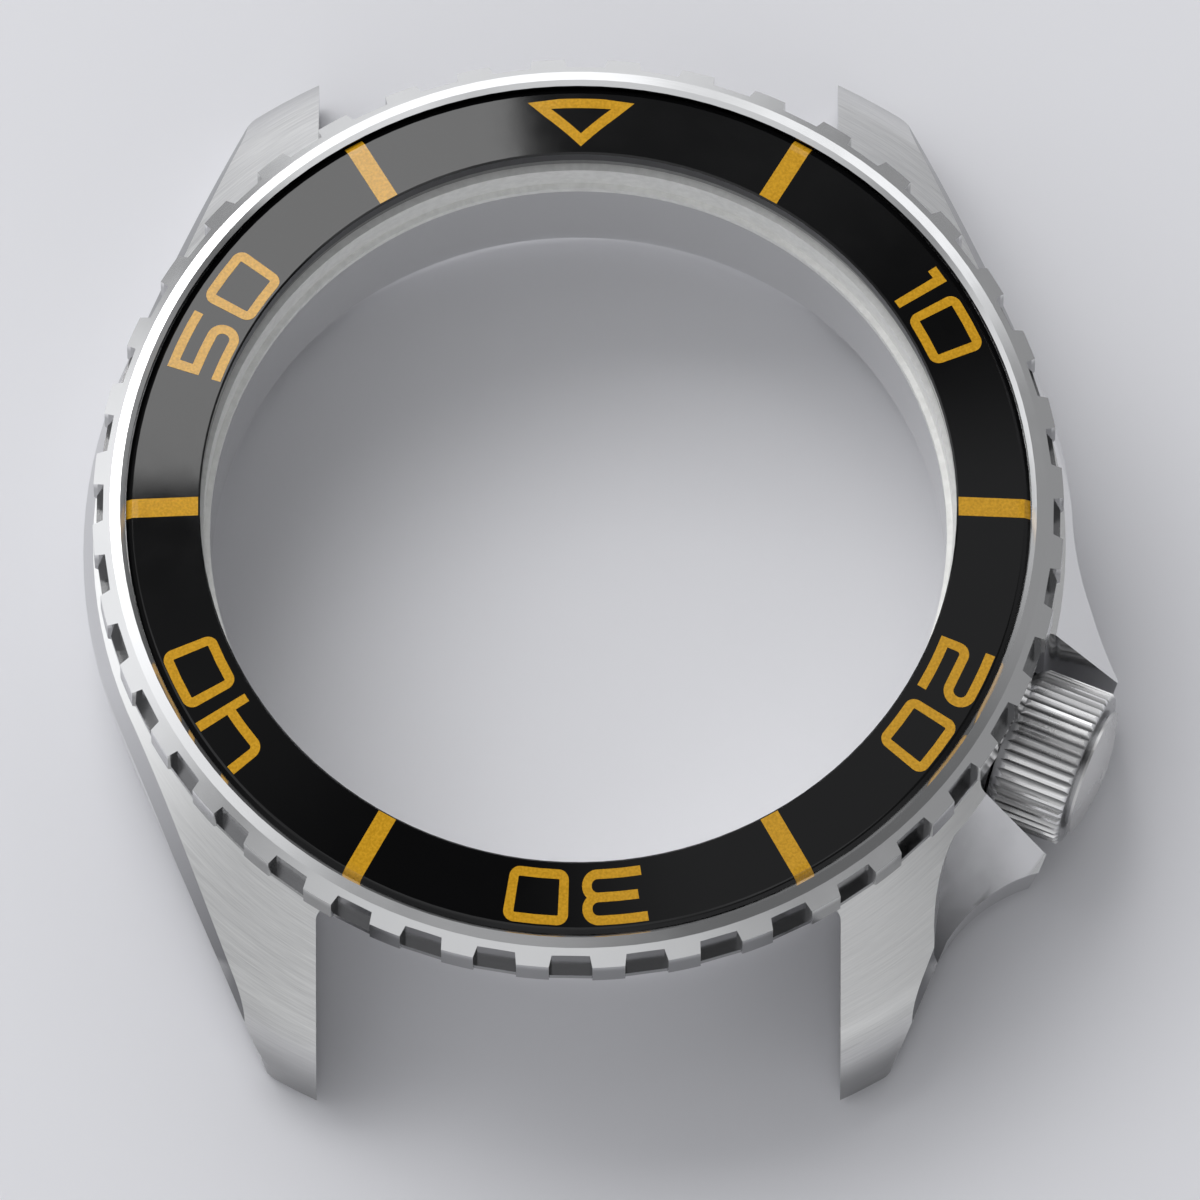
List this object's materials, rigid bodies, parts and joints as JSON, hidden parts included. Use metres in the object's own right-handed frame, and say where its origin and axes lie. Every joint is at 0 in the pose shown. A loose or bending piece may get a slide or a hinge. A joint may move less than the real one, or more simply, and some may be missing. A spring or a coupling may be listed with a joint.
{
  "type": "diver's watch case",
  "caption": "Empty steel case for a diver's watch: a middle case with lugs and crown guards, a turning bezel with a minute-scale insert, and a screw-down crown on its tube.",
  "frame": {"origin": "on the axis of the bezel and of the case's bore, level with the flat underside of the middle case", "axes": "+Z along the bezel's axis, out through the insert; +Y towards 12 o'clock, between the upper lugs; +X towards 3 o'clock, on the crown's side"},
  "size_m": [0.0436, 0.0452, 0.0113],
  "materials": {
    "steel_case": "satin",
    "steel_bezel": "polished",
    "steel_crown": "polished",
    "steel_inner": "satin",
    "spring_steel": "satin",
    "insert_black": "glossy",
    "marker_gold": "glossy",
    "tape": "matte",
    "gasket_rubber": "matte",
    "gasket_nylon": "satin"
  },
  "bodies": {
    "case": {"mid_case": "steel_case", "crown_tube": "steel_inner", "tube_gasket": "gasket_rubber", "click_spring": "spring_steel", "bezel_gasket": "gasket_rubber", "crystal_gasket": "gasket_nylon", "back_gasket": "gasket_rubber"},
    "bezel": {"bezel_ring": "steel_bezel", "bezel_insert": "insert_black", "insert_tape": "tape"},
    "crown_stem_post": {"crown_post": "steel_inner"},
    "crown": {"crown_head": "steel_crown", "crown_gasket": "gasket_rubber", "crown_washer": "steel_inner", "crown_spring": "spring_steel"}
  },
  "joints": [
    {"name": "bezel_turn", "type": "hinge", "parent": "case", "child": "bezel", "pos_m": [0, 0, 0.009], "axis": [0, 0, 1], "continuous": true},
    {"name": "crown_turn", "type": "hinge", "parent": "case", "child": "crown_stem_post", "pos_m": [0.01848, -0.00765, 0.00265], "axis": [0.9239, -0.3827, 0], "continuous": true},
    {"name": "crown_draw", "type": "slide", "parent": "crown_stem_post", "child": "crown", "axis": [0.9239, -0.3827, 0], "range_m": [0, 0.0014]}
  ]
}
